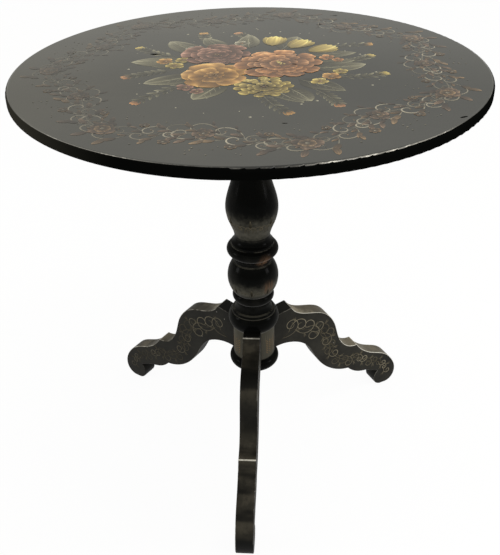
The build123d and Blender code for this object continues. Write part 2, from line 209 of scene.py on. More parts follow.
class Graph:
    """Short calls for building a node tree."""

    def __init__(self, tree):
        self.tree = tree

    def feed(self, socket, value):
        if isinstance(value, bpy.types.NodeSocket):
            self.tree.links.new(value, socket)
        else:
            socket.default_value = value

    def node(self, kind, inputs=None, **settings):
        made = self.tree.nodes.new(kind)
        for name, value in settings.items():
            setattr(made, name, value)
        for key, value in (inputs or {}).items():
            self.feed(made.inputs[key], value)
        return made

    def math(self, operation, *values):
        return self.node("ShaderNodeMath", dict(enumerate(values)), operation=operation).outputs[0]

    def times(self, first, second):
        return self.math("MULTIPLY", first, second)

    def plus(self, first, second):
        return self.math("ADD", first, second)

    def rest(self, mask):
        """What a mask leaves over."""
        return self.math("SUBTRACT", 1.0, mask)

    def rise(self, value, low, high):
        """0 below low, 1 above high, and smooth between."""
        inputs = {"Value": value, "From Min": low, "From Max": high}
        return self.node("ShaderNodeMapRange", inputs, interpolation_type="SMOOTHSTEP").outputs["Result"]

    def scaled(self, value, low, high):
        """A mask from 0 to 1 stretched to run from low to high."""
        inputs = {"Value": value, "To Min": low, "To Max": high}
        return self.node("ShaderNodeMapRange", inputs).outputs["Result"]

    def mix(self, mask, under, over):
        """One colour over another, each a socket or three numbers."""
        inputs = {0: mask, 6: opaque(under), 7: opaque(over)}
        return self.node("ShaderNodeMix", inputs, data_type="RGBA").outputs[2]

    def noise(self, vector, scale, detail=4.0, roughness=0.55):
        inputs = {"Vector": vector, "Scale": scale, "Detail": detail, "Roughness": roughness}
        return self.node("ShaderNodeTexNoise", inputs).outputs["Fac"]

    def coords(self):
        """Where a point is on its object, and the way its surface faces."""
        outputs = self.node("ShaderNodeTexCoord").outputs
        return outputs["Object"], outputs["Normal"]

    def axes(self, vector):
        return self.node("ShaderNodeSeparateXYZ", {0: vector}).outputs

    def mapped(self, vector, scale=(1, 1, 1), turn=0.0):
        inputs = {"Vector": vector, "Scale": scale, "Rotation": (0, 0, turn)}
        return self.node("ShaderNodeMapping", inputs).outputs["Vector"]

    def distance(self, vector, point):
        inputs = {0: vector, 1: point}
        return self.node("ShaderNodeVectorMath", inputs, operation="DISTANCE").outputs["Value"]

    def place(self, name, **inputs):
        """A shared effect, placed with its own values."""
        return self.node("ShaderNodeGroup", node_tree=bpy.data.node_groups[name], inputs=inputs).outputs

    def wear(self, vector, scale, amount):
        """The patches of the shared wear effect."""
        return self.place("Wear", Vector=vector, Scale=scale, Amount=amount)["Mask"]


def effect(name, inputs, outputs):
    """An empty shader group with named sockets: its graph, its inputs and its output node's inputs."""
    tree = bpy.data.node_groups.new(name, "ShaderNodeTree")
    for label, default in inputs.items():
        kind = "NodeSocketVector" if default is None else "NodeSocketFloat"
        socket = tree.interface.new_socket(label, in_out="INPUT", socket_type=kind)
        if default is not None:
            socket.default_value = default
    for label in outputs:
        tree.interface.new_socket(label, in_out="OUTPUT", socket_type="NodeSocketFloat")
    graph = Graph(tree)
    return graph, graph.node("NodeGroupInput").outputs, graph.node("NodeGroupOutput").inputs


def wear_effect():
    """Patches where a finish is rubbed away: Amount 0 is none, 1 is nearly everywhere."""
    g, given, out = effect("Wear", {"Vector": None, "Scale": 20.0, "Amount": 0.4}, ["Mask"])
    broad = g.noise(given["Vector"], given["Scale"], 5.0, 0.6)
    fine = g.noise(given["Vector"], g.times(given["Scale"], 5.3), 3.0, 0.7)
    level = g.plus(g.times(broad, 0.65), g.times(fine, 0.35))
    start = g.scaled(given["Amount"], 0.78, 0.25)
    g.feed(out["Mask"], g.rise(level, start, g.plus(start, 0.14)))


def arris_effect():
    """Broken wear along an edge. Lean is the share of the normal that looks to one of its two faces."""
    g, given, out = effect("Arris", {"Lean": 0.0, "Vector": None, "Scale": 40.0, "Amount": 0.5}, ["Mask"])
    inside = g.times(g.rise(given["Lean"], 0.10, 0.30), g.rest(g.rise(given["Lean"], 0.86, 0.985)))
    g.feed(out["Mask"], g.times(inside, g.wear(given["Vector"], given["Scale"], given["Amount"])))


def varnish_effect():
    """Old varnish: broad clouds, fine streaks and a few dark chips."""
    g, given, out = effect("Varnish", {"Vector": None, "Scale": 6.0}, ["Cloud", "Streak", "Chip"])
    g.feed(out["Cloud"], g.noise(given["Vector"], given["Scale"], 5.0, 0.6))
    combed = g.mapped(given["Vector"], scale=(1.0, 16.0, 1.0))
    g.feed(out["Streak"], g.noise(combed, g.times(given["Scale"], 1.6), 4.0, 0.65))
    inputs = {"Vector": given["Vector"], "Scale": g.times(given["Scale"], 3.0)}
    cells = g.node("ShaderNodeTexVoronoi", inputs).outputs
    chosen = g.rise(g.axes(cells["Color"])["X"], 0.90, 0.92)
    spot = g.rest(g.rise(cells["Distance"], 0.030, 0.075))
    g.feed(out["Chip"], g.times(chosen, spot))


def grain_effect():
    """Wood grain along X of the given vector: pores and broad bands."""
    g, given, out = effect("Grain", {"Vector": None, "Scale": 12.0}, ["Band", "Pore"])
    drawn = g.mapped(given["Vector"], scale=(0.09, 1.0, 1.0))
    g.feed(out["Band"], g.noise(drawn, given["Scale"], 6.0, 0.6))
    combed = g.mapped(given["Vector"], scale=(0.03, 1.0, 1.0))
    g.feed(out["Pore"], g.rise(g.noise(combed, g.times(given["Scale"], 9.0), 2.0), 0.52, 0.70))


def new_material(name, specular=0.5, coat_roughness=0.1):
    """A material, its graph and its shader, with the values that are the same all over set on the shader."""
    made = bpy.data.materials.new(name)
    made.use_nodes = True
    shader = made.node_tree.nodes["Principled BSDF"]
    shader.inputs["Specular IOR Level"].default_value = specular
    shader.inputs["Coat Roughness"].default_value = coat_roughness
    return made, Graph(made.node_tree), shader


def finish_shader(g, shader, colour, roughness, height=None, depth=0.2 * MM, **others):
    """Feeds a shader its colour, roughness and relief."""
    g.feed(shader.inputs["Base Color"], colour)
    g.feed(shader.inputs["Roughness"], roughness)
    for name, value in others.items():
        g.feed(shader.inputs[name.replace("_", " ")], value)
    if height is not None:
        bump = g.node("ShaderNodeBump", {"Height": height, "Strength": 0.6, "Distance": depth})
        g.feed(shader.inputs["Normal"], bump.outputs["Normal"])


# Finishes


def arris_wear_and_highlight(g, where, up):
    """A thin worn line on the arris of the top, with a painted highlight that makes it brighter in two
    stretches at the front, most on the right.
    """
    place = g.axes(where)
    radius = g.distance(g.mapped(where, scale=(1, 1, 0)), (0, 0, 0))
    line = g.times(g.math("COMPARE", radius, ARRIS_LINE_RADIUS, ARRIS_LINE_HALF_WIDTH), g.rise(up, 0.2, 0.4))
    beside = g.math("ABSOLUTE", place["X"])
    front = g.times(g.rest(g.rise(place["Y"], -0.20, -0.12)), g.rest(g.rise(beside, 0.22, 0.30)))
    # Painted highlight: two stretches at the front are made brighter, the right one most
    stretches = g.times(front, g.rise(beside, 0.06, 0.11))
    bright = g.times(stretches, g.scaled(g.rise(place["X"], -0.05, 0.05), 0.6, 1.0))
    broken = g.wear(where, 45.0, 0.55)
    return g.times(g.times(line, g.scaled(bright, 0.12, 1.0)), g.scaled(broken, 0.35, 1.0))


def top_lacquer(lacquer, fittings):
    """Polished black face with old haze, a black edge with a worn line and a painted highlight on its arris,
    and a stained underside.
    """
    made, g, shader = new_material("painted_top_lacquer", specular=0.0, coat_roughness=0.09)
    where, normal = g.coords()
    up = g.axes(normal)["Z"]
    leftward = g.times(g.axes(where)["X"], -1.0)
    varnish = g.place("Varnish", Vector=where, Scale=5.0)
    haze = g.plus(g.times(varnish["Cloud"], 0.75), g.times(g.rise(leftward, -0.30, 0.36), 0.35))
    haze = g.plus(g.rise(haze, 0.30, 0.95), g.times(varnish["Streak"], 0.25))
    face = g.mix(varnish["Chip"], g.mix(haze, lacquer.face, lacquer.haze), lacquer.edge)
    rim = g.mix(g.rise(leftward, 0.12, 0.34), lacquer.edge, lacquer.leg)
    colour = g.mix(g.rise(up, 0.90, 0.995), rim, face)
    # Pale worn line on the arris, with a painted highlight
    colour = g.mix(arris_wear_and_highlight(g, where, up), colour, lacquer.bare)
    grain = g.place("Grain", Vector=where, Scale=26.0)
    wood = g.mix(grain["Band"], dimmed(fittings.stained, 0.45), fittings.stained)
    wood = g.mix(g.times(grain["Pore"], 0.5), wood, lacquer.edge)
    under = g.rise(g.times(up, -1.0), 0.90, 0.99)
    colour = g.mix(under, colour, wood)
    roughness = g.plus(g.scaled(varnish["Streak"], 0.22, 0.42), g.times(under, 0.35))
    coat = g.times(g.rise(up, 0.80, 0.97), g.rest(g.times(varnish["Chip"], 0.7)))
    height = g.plus(g.times(varnish["Streak"], 0.3), g.times(varnish["Chip"], -1.0))
    finish_shader(g, shader, colour, roughness, height, Coat_Weight=coat)
    return made


def paint_finish(name, gloss, fainter_back_left=0.0):
    """Paint, under varnish if it has gloss, coloured by stroke, worn in patches, and fainter towards the back
    left.
    """
    made, g, shader = new_material(name, specular=0.0, coat_roughness=0.09)
    where, _ = g.coords()
    stroke = g.node("ShaderNodeAttribute", attribute_name="paint").outputs["Color"]
    varnish = g.place("Varnish", Vector=where, Scale=22.0)
    inputs = {"Saturation": 0.9, "Value": 0.75, "Color": stroke}
    dull = g.node("ShaderNodeHueSaturation", inputs).outputs["Color"]
    colour = g.mix(g.rise(varnish["Cloud"], 0.25, 0.75), dull, stroke)
    worn = g.times(g.wear(where, 60.0, 0.30), 0.45)
    place = g.axes(where)
    front_right = g.plus(g.times(place["X"], 0.85), g.times(place["Y"], -0.5))
    kept = g.scaled(g.rise(front_right, -0.30, 0.22), 1.0 - fainter_back_left, 1.0)
    colour = g.mix(g.times(kept, g.rest(worn)), WORN_PAINT, colour)
    roughness = g.scaled(varnish["Cloud"], 0.30, 0.45)
    coat = g.scaled(varnish["Streak"], 0.9, 1.0) if gloss else 0.0
    finish_shader(g, shader, colour, roughness, varnish["Cloud"], Coat_Weight=coat)
    return made


def leg_wear_and_painted_light(g, colour, where, normal, lacquer, rub, pale):
    """A leg's colour with painted shade on its narrow faces, brown rubbed upper faces, and pale broken
    arrises and tips, worn and with a painted highlight.
    """
    place, facing = g.axes(where), g.axes(normal)
    lean = g.math("ABSOLUTE", facing["Y"])
    edgewise = g.rest(g.rise(lean, 0.90, 0.99))
    outside = g.rise(place["X"], LEG_PEAK[0], LEG_PEAK[0] + 1 * MM)
    handled = g.times(outside, g.rise(place["Z"], LEG_HOLLOW_Z - 5 * MM, LEG_HOLLOW_Z + 5 * MM))
    upward = g.times(handled, g.times(g.rise(facing["Z"], 0.10, 0.75), edgewise))
    # Painted shade: the narrow faces, other than the rubbed upper ones, are darkened towards black
    shaded_narrow_faces = g.times(edgewise, g.rest(upward))
    colour = g.mix(g.times(shaded_narrow_faces, 0.6), colour, lacquer.column)
    patches = g.scaled(g.wear(where, 14.0, 0.62), 0.35, 0.9)
    low = g.rest(g.rise(place["Z"], 0.05, 0.24))
    rubbed = g.times(upward, g.times(g.plus(patches, g.times(low, 0.2)), rub))
    # Rubbed brown, made paler on the knee than on the foot by pale, which is partly painted light
    knee_brown, foot_brown = (dimmed(lacquer.rubbed, 1.0 + gain * pale) for gain in (2.8, 0.45))
    colour = g.mix(rubbed, colour, g.mix(low, knee_brown, foot_brown))
    across = g.rise(g.noise(g.mapped(where, scale=(1.0, 0.3, 1.0)), 26.0, 3.0), 0.40, 0.62)
    bands = g.times(g.rest(across), 0.85 - 0.6 * pale)
    colour = g.mix(g.times(upward, bands), colour, lacquer.column)
    # Worn arrises with a painted highlight, paler on upper edges and on the legs that pale lights
    amount = 0.42 + 0.12 * rub + 0.2 * pale
    arris = g.place("Arris", Lean=lean, Vector=where, Scale=26.0, Amount=amount)["Mask"]
    above = g.scaled(g.times(handled, g.rise(facing["Z"], 0.0, 0.3)), 0.2, 0.34 + 0.6 * pale)
    colour = g.mix(g.times(arris, above), colour, lacquer.bare)
    flat = g.mapped(where, scale=(1, 0, 1))
    # Wear and a painted highlight at the peak and the spur
    for tip in (LEG_PEAK, LEG_SPUR):
        worn = g.times(g.rest(g.rise(g.distance(flat, tip), 0.6 * MM, 1.8 * MM)), edgewise)
        colour = g.mix(g.times(worn, patches), colour, lacquer.bare)
    return colour


def leg_lacquer(name, lacquer):
    """Dull mottled lacquer on a leg, rubbed and chipped, made lighter or darker per leg as painted light and
    shade.
    """
    angle, tone, rub, pale = LEGS[name]
    made, g, shader = new_material(name + "_lacquer", specular=0.08)
    where, normal = (g.mapped(vector, turn=-math.radians(angle)) for vector in g.coords())
    varnish = g.place("Varnish", Vector=where, Scale=18.0)
    mottle = g.rise(varnish["Cloud"], 0.25, 0.75)
    # Painted light and shade: tone makes the whole leg lighter or darker by how the light falls on it
    colour = g.mix(mottle, dimmed(lacquer.leg, 0.5 * tone), dimmed(lacquer.leg, 1.25 * tone))
    colour = leg_wear_and_painted_light(g, colour, where, normal, lacquer, rub, pale)
    colour = g.mix(g.times(varnish["Chip"], 0.5), colour, lacquer.bare)
    roughness = g.scaled(varnish["Cloud"], 0.42, 0.62)
    height = g.plus(varnish["Cloud"], g.times(varnish["Streak"], 0.5))
    finish_shader(g, shader, colour, roughness, height, depth=0.6 * MM)
    return made


def drum_mask(g, height):
    """The drum, between the boss below it and the turnings above."""
    above_boss = g.rise(height, COLUMN_FOOT_Z - 1 * MM, COLUMN_FOOT_Z + 1 * MM)
    return g.times(above_boss, g.rest(g.rise(height, DRUM_TOP_Z + 4 * MM, DRUM_TOP_Z + 12 * MM)))


def quirk_lines(g, where, height):
    """Broken pale lines in the quirks of the column: dust and a painted highlight."""
    lines = 0.0
    for middle, half in COLUMN_LINES.items():
        lines = g.plus(lines, g.math("COMPARE", height, middle, half))
    return g.times(lines, g.wear(where, 18.0, 0.70))


def column_lacquer(lacquer):
    """Near-black polish with dust on the drum, dust and a painted floor reflection low on ball and vase,
    brown smears, and pale lines in the quirks.
    """
    made, g, shader = new_material("column_lacquer", specular=0.0, coat_roughness=0.16)
    shader.inputs["Sheen Weight"].default_value = 0.22
    shader.inputs["Sheen Roughness"].default_value = 0.35
    where, normal = g.coords()
    height = g.axes(where)["Z"]
    varnish = g.place("Varnish", Vector=where, Scale=16.0)
    haze = g.times(g.rise(varnish["Cloud"], 0.5, 0.95), 0.5)
    colour = g.mix(haze, lacquer.column, lacquer.leg)
    dust_and_painted_light = dimmed(lacquer.leg, 2.7)
    # Dust and a painted reflection of the floor: paler where the surface faces down, in bands low on the ball
    # and the vase
    patchy = g.plus(g.times(varnish["Cloud"], 0.9), g.times(g.noise(where, 150.0), 0.6))
    dull = g.rise(g.math("SUBTRACT", patchy, g.axes(normal)["Z"]), 0.52, 1.38)
    for middle, half in DUST_AND_FLOOR_REFLECTION_BANDS.items():
        off = g.math("ABSOLUTE", g.plus(height, -middle))
        colour = g.mix(g.times(dull, g.rest(g.rise(off, 0.3 * half, half))), colour, dust_and_painted_light)
    for smear in BROWN_SMEARS:
        near = g.rest(g.rise(g.distance(where, smear), 3 * MM, 18 * MM))
        colour = g.mix(g.times(near, g.rise(varnish["Streak"], 0.30, 0.62)), colour, BROWN_WOOD)
    drum = drum_mask(g, height)
    colour = g.mix(g.times(drum, 0.9), colour, dimmed(lacquer.leg, 2.6))
    # Dust and a painted highlight in the quirks
    colour = g.mix(g.times(quirk_lines(g, where, height), 0.55), colour, dust_and_painted_light)
    roughness = g.scaled(varnish["Cloud"], 0.30, 0.46)
    coat = g.times(g.rest(drum), g.scaled(varnish["Cloud"], 0.015, 0.07))
    finish_shader(g, shader, colour, roughness, varnish["Cloud"], depth=0.3 * MM, Coat_Weight=coat)
    return made


def plain_wood(name, colour, along):
    """Oiled wood with grain along X or Y."""
    made, g, shader = new_material(name, specular=0.08)
    where, _ = g.coords()
    vector = g.mapped(where, turn=math.radians(-90.0) if along == "Y" else 0.0)
    grain = g.place("Grain", Vector=vector, Scale=40.0)
    shade = g.mix(g.rise(grain["Band"], 0.25, 0.75), dimmed(colour, 0.4), colour)
    shade = g.mix(g.times(grain["Pore"], 0.55), shade, dimmed(colour, 0.2))
    shade = g.mix(g.times(g.wear(where, 22.0, 0.34), 0.18), shade, dimmed(colour, 1.7))
    height = g.plus(grain["Band"], g.times(grain["Pore"], -0.7))
    finish_shader(g, shader, shade, g.scaled(grain["Band"], 0.55, 0.75), height, depth=0.3 * MM)
    return made


def old_metal(name, colour, tarnish, brightness):
    """Handled metal: bright where it is touched, dull and dark elsewhere."""
    made, g, shader = new_material(name)
    where, _ = g.coords()
    patches = g.wear(where, 90.0, brightness)
    fine = g.noise(where, 700.0, 3.0)
    shade = g.mix(g.times(fine, 0.3), g.mix(patches, tarnish, colour), dimmed(colour, 0.5))
    roughness = g.plus(g.scaled(patches, 0.52, 0.28), g.times(fine, 0.1))
    metallic = g.scaled(patches, 0.85, 1.0)
    finish_shader(g, shader, shade, roughness, fine, depth=0.08 * MM, Metallic=metallic)
    return made


def wear_finish(finish, nodes):
    """Puts a finish on solid parts."""
    for name in nodes:
        slots = frame["nodes"][name].material_slots
        for slot in slots:
            slot.material = finish
        if not slots:
            raise RuntimeError(f"{name} has no material slot")


# Painting


def ramp(colour, shade):
    """Shades of a colour, from its deep tone at 0 to the colour itself at 1."""
    light = np.array(colour[:3], float)
    deep = 0.12 * light**1.4
    return deep * (light / deep) ** np.clip(shade, 0.0, 1.1)[..., None]


def arrow(heading):
    return np.array([math.cos(heading), math.sin(heading)])


def right_of(forward):
    return np.array([forward[1], -forward[0]])


def curl_line(start, heading, length, bend=0.0, curl=0.0, sharpness=3.0, points=STROKE_POINTS):
    """A line whose turn grows towards its end: bend and curl are its whole turns, in radians."""
    t = np.linspace(0, 1, points)
    angle = heading + bend * t + curl * t ** (sharpness + 1)
    # A curl closes up as it goes, so its steps get shorter
    step = length / (points - 1) * (1 - 0.55 * t * min(1.0, abs(curl) / 4))
    moves = np.stack([np.cos(angle), np.sin(angle)], axis=1) * step[:, None]
    return np.array(start, float) + np.concatenate([np.zeros((1, 2)), np.cumsum(moves[:-1], axis=0)])


def smooth_line(knots, points):
    """A smooth line through a few knots."""
    knots = np.array(knots, float)
    ends = np.concatenate([2 * knots[:1] - knots[1:2], knots, 2 * knots[-1:] - knots[-2:-1]])
    t = np.linspace(0, len(knots) - 1 - 1e-9, points)
    i = t.astype(int)
    f = (t - i)[:, None]
    a, b, c, d = (ends[i + k] for k in range(4))
    return b + 0.5 * f * (c - a + f * (2 * a - 5 * b + 4 * c - d + f * (3 * (b - c) + d - a)))


def headings_along(line):
    """The heading of a line at each of its points."""
    ahead = np.gradient(line, axis=0)
    return np.arctan2(ahead[:, 1], ahead[:, 0])


class Painting:
    """Painted shapes on a flat sheet in metres, in thin layers, with a colour at each point."""

    def __init__(self, seed):
        self.points, self.colours, self.faces = [], [], []
        self.count = 0
        self.layer = 0
        self.random = np.random.default_rng(seed)

    def sheet(self, rows, colours):
        """A patch of points in rows from left to right, each row further on than the one before."""
        n, m = rows.shape[:2]
        step = len(self.faces) % STEPS_PER_LAYER
        heights = np.full((n, m, 1), PAINT_LIFT + PAINT_LAYER * self.layer + PAINT_STEP * step)
        self.points.append(np.concatenate([rows, heights], axis=2).reshape(-1, 3))
        self.colours.append(np.clip(colours, 0, 1).reshape(-1, 3))
        index = self.count + np.arange(n * m).reshape(n, m)
        corners = [index[:-1, :-1], index[:-1, 1:], index[1:, 1:], index[1:, :-1]]
        self.faces.append(np.stack(corners, axis=-1).reshape(-1, 4))
        self.count += n * m

    def petal(self, root, heading, length, width, colour, belly=1.4, tip=0.5, bend=0.0, tone=0.0,
              rim=0.25, glow=1.0, rows=PETAL_ROWS):
        """A petal or leaf. Belly moves its widest part to the tip, a tip near 1 makes it pointed,
        and rim lights its edge."""
        along = np.linspace(0, 1, rows)[:, None] ** 0.8
        across = np.sin(np.linspace(-0.5, 0.5, PETAL_COLUMNS) * math.pi)[None, :]
        forward = arrow(heading)
        half = 0.5 * width * np.maximum(1 - np.abs(2 * along**belly - 1) ** 2, 0.0) ** tip
        phase = self.random.uniform(0, 2 * math.pi)
        side = half * across + bend * length * along**2
        ripple = 0.10 * np.sin(3 * across + phase) * along * (1 - along**4)
        points = np.array(root) + (length * (along + ripple))[..., None] * forward
        edge = np.maximum(np.abs(across) ** 5 * along, along**8)
        streak = 0.20 * np.cos(7 * across + phase) * along
        lit = 0.14 * math.cos(heading - PAINTED_LIGHT) + 0.12 * across * along
        shade = 0.08 + 0.66 * along**glow + rim * edge + streak + lit + tone
        self.sheet(points + side[..., None] * right_of(forward), ramp(colour, shade))

    def stroke(self, line, width, colour, blunt=0.3, tone=0.0):
        """A brush stroke along a line, thin at its ends and light in the middle."""
        ahead = np.gradient(line, axis=0)
        ahead /= np.maximum(np.linalg.norm(ahead, axis=1, keepdims=True), 1e-9)
        right = np.stack([ahead[:, 1], -ahead[:, 0]], axis=1)
        swell = np.sin(math.pi * np.linspace(0, 1, len(line))[:, None]) ** 0.7
        half = 0.5 * width * (blunt + (1 - blunt) * swell)
        rows = np.stack([line - right * half, line + right * half], axis=1)
        self.sheet(rows, ramp(colour, np.repeat(0.65 + 0.3 * swell + tone, 2, axis=1)))

    def dot(self, at, radius, colour, tone=0.35):
        """A round dab of paint."""
        left, size = (at[0] - radius, at[1]), 2 * radius
        self.petal(left, 0.0, size, size, colour, belly=1.0, tone=tone, rim=0.0, rows=DOT_ROWS)

    def ring(self, at, count, root, length, width, colour, turn=0.0, tone=0.0, **shape):
        """Petals all round a point, each over or under its neighbours."""
        base = self.layer
        for k in range(count):
            odd_one = count % 2 and k == count - 1
            self.layer = base + (2 if odd_one else k % 2)
            heading = turn + 2 * math.pi * k / count + self.random.uniform(-0.12, 0.12)
            size = self.random.uniform(0.88, 1.12)
            mood = tone + self.random.uniform(-0.13, 0.13)
            spot = np.array(at) + root * arrow(heading)
            self.petal(spot, heading, length * size, width * size, colour, tone=mood, **shape)
        self.layer = base + 3

    def floret(self, at, radius, petals, colour, heart, turn=0.0):
        """A small open flower with a round heart."""
        base = self.layer
        self.ring(at, petals, 0.0, radius, 0.86 * radius, colour, turn, belly=1.7, glow=1.6)
        self.dot(at, 0.26 * radius, heart)
        self.layer = base


def painted_piece(name, painting, finish, place, turned=None):
    """A mesh of a painting: place moves its points, and turned those of a copy that faces the other way."""
    sheet, faces = np.concatenate(painting.points), np.concatenate(painting.faces)
    points, colours = place(sheet), np.concatenate(painting.colours)
    if turned:
        points = np.concatenate([points, turned(sheet)])
        faces = np.concatenate([faces, faces[:, ::-1] + len(sheet)])
        colours = np.tile(colours, (2, 1))
    mesh = bpy.data.meshes.new(name)
    mesh.from_pydata(points.tolist(), [], faces.tolist())
    colours = np.column_stack([colours, np.ones(len(colours))]).astype(np.float32)
    mesh.attributes.new("paint", "FLOAT_COLOR", "POINT").data.foreach_set("color", colours.ravel())
    mesh.materials.append(finish)
    mesh.update()
    return new_object(name, mesh)


def on_top(scale=1.0):
    """From the flat sheet to the face of the top."""

    def place(points):
        return points * np.array([scale, scale, 1.0]) + np.array([0, 0, TOP_Z])

    return place


def on_ring(radius):
    """From a strip, along the ring and outwards, to the face of the top about the angle 0."""

    def place(points):
        angle = -points[:, 0] / radius
        reach = radius + points[:, 1]
        return np.column_stack([reach * np.cos(angle), reach * np.sin(angle), TOP_Z + points[:, 2]])

    return place


def on_leg_side(side):
    """From the side view of a leg along +X to its side at -Y or +Y."""

    def place(points):
        half = side * (LEG_HALF_THICKNESS + points[:, 2])
        return np.column_stack([points[:, 0], half, points[:, 1]])

    return place


def turned_profile():
    """Heights and radii of the column's outer surface, read from the frame."""
    mesh = frame["nodes"]["column"].data
    points = np.empty(len(mesh.vertices) * 3, np.float32)
    mesh.vertices.foreach_get("co", points)
    points = points.reshape(-1, 3)
    radius = np.hypot(points[:, 0], points[:, 1])
    heights = np.round(points[:, 2], 4)
    levels = np.unique(heights)
    return levels, np.array([radius[heights == z].max() for z in levels])


def round_column(points, radius, lift=0.0):
    """From a strip, round the column and up, to a turned surface about the angle 0."""
    angle = points[:, 0] / radius
    reach = radius + points[:, 2] + lift
    return np.column_stack([reach * np.cos(angle), reach * np.sin(angle), points[:, 1]])


def on_column(points):
    """From a strip to the turnings, a little higher because their profile is read in steps."""
    return round_column(points, np.interp(points[:, 1], *turned_profile()), PAINT_LIFT)


def on_drum(points):
    """From a strip to the plain drum at the foot of the column."""
    levels, radii = turned_profile()
    return round_column(points, radii[levels < DRUM_TOP_Z].max())


def geometry_tree(name, inputs):
    """A geometry tree that takes a motif, a finish and the given inputs: its graph and its inputs."""
    tree = bpy.data.node_groups.new(name, "GeometryNodeTree")
    for label, kind in {"Geometry": "Geometry", "Motif": "Object", **inputs, "Finish": "Material"}.items():
        tree.interface.new_socket(label, in_out="INPUT", socket_type="NodeSocket" + kind)
    tree.interface.new_socket("Geometry", in_out="OUTPUT", socket_type="NodeSocketGeometry")
    graph = Graph(tree)
    return graph, graph.node("NodeGroupInput").outputs


def set_motif(g, given, points, **placing):
    """Ends a geometry tree with its motif on each point, as real geometry in its finish."""
    motif = g.node("GeometryNodeObjectInfo", {"Object": given["Motif"]}, transform_space="ORIGINAL")
    inputs = {"Points": points, "Instance": motif.outputs["Geometry"], **placing}
    copies = g.node("GeometryNodeInstanceOnPoints", inputs).outputs[0]
    real = g.node("GeometryNodeRealizeInstances", {"Geometry": copies}).outputs[0]
    clad = g.node("GeometryNodeSetMaterial", {"Geometry": real, "Material": given["Finish"]}).outputs[0]
    g.node("NodeGroupOutput", {"Geometry": clad})


def ring_tree():
    """Geometry nodes that repeat a motif round the Z axis."""
    g, given = geometry_tree("Repeat round the axis", {"Count": "Int", "First turn": "Float"})
    points = g.node("GeometryNodePoints", {"Count": given["Count"]}).outputs[0]
    index = g.node("GeometryNodeInputIndex").outputs[0]
    step = g.math("DIVIDE", 2 * math.pi, given["Count"])
    angle = g.plus(g.times(index, step), given["First turn"])
    set_motif(g, given, points, Rotation=g.node("ShaderNodeCombineXYZ", {"Z": angle}).outputs[0])


def dots_tree():
    """Geometry nodes that scatter a motif in many sizes over a sheet."""
    g, given = geometry_tree("Scatter dabs", {"Density": "Float"})
    inputs = {"Mesh": given["Geometry"], "Density": given["Density"], "Seed": 11}
    points = g.node("GeometryNodeDistributePointsOnFaces", inputs).outputs["Points"]
    size = g.node("FunctionNodeRandomValue", {"Seed": 3, 2: 0.45, 3: 1.25}, data_type="FLOAT").outputs[1]
    set_motif(g, given, points, Scale=size)


def grown(name, tree_name, values, seed_mesh=None):
    """Runs a geometry tree once and keeps its result as a plain mesh."""
    tree = bpy.data.node_groups[tree_name]
    source = new_object(name + "_start", seed_mesh or bpy.data.meshes.new(name + "_start"))
    modifier = source.modifiers.new("Grow", "NODES")
    modifier.node_group = tree
    for item in tree.interface.items_tree:
        if item.item_type == "SOCKET" and item.in_out == "INPUT" and item.name in values:
            modifier[item.identifier] = values[item.name]
    evaluated = source.evaluated_get(bpy.context.evaluated_depsgraph_get())
    made = bpy.data.meshes.new_from_object(evaluated)
    made.name = name
    bpy.data.objects.remove(source)
    if not made.polygons:
        raise RuntimeError(f"{name} came out empty")
    return new_object(name, made)


def repeated(name, painting, finish, count, first_turn, *places):
    """A painting in its place or places, repeated round the Z axis as one mesh."""
    motif = painted_piece(name + "_motif", painting, finish, *places)
    values = {"Motif": motif, "Count": count, "First turn": first_turn, "Finish": finish}
    piece = grown(name, "Repeat round the axis", values)
    bpy.data.objects.remove(motif)
    return piece


# Border of the top

BORDER_HALF_WIDTH = 44 * MM
BORDER_SWING = 18 * MM
BORDER_FIRST_TURN = math.radians(-73.0)


def border_scrolls(art, paint, vine):
    """A gilt vine with curls on both sides, each with a few short leaves."""
    headings = headings_along(vine)
    art.stroke(vine, 1.5 * MM, paint.gilt, blunt=0.9, tone=-0.2)
    for n, k in enumerate(range(3, len(vine) - 2, 6)):
        side = 1 if n % 2 else -1
        length = art.random.uniform(80, 140) * MM
        curl = -side * art.random.uniform(6.0, 8.5)
        art.layer = 1 + n % 4
        line = curl_line(vine[k], headings[k] + side * 0.95, length, 0.0, curl, sharpness=0.75, points=36)
        width, tone = art.random.uniform(1.5, 2.3) * MM, art.random.uniform(-0.4, 0.25)
        art.stroke(line, width, paint.gilt, blunt=0.5, tone=tone)
        art.dot(line[-1], 1.6 * MM, paint.gold, tone=0.2)
        colour = paint.gold if n % 3 == 1 else paint.russet
        for j, lean in enumerate((0.3, 0.8, 1.4)):
            art.layer = 5 + 3 * (n % 2) + j
            size = art.random.uniform(11, 21) * MM
            art.petal(line[2 + 4 * j], headings[k] + side * lean, size, 0.42 * size, colour, belly=0.9,
                      tip=0.7, bend=0.25 * side, tone=art.random.uniform(-0.25, 0.3))


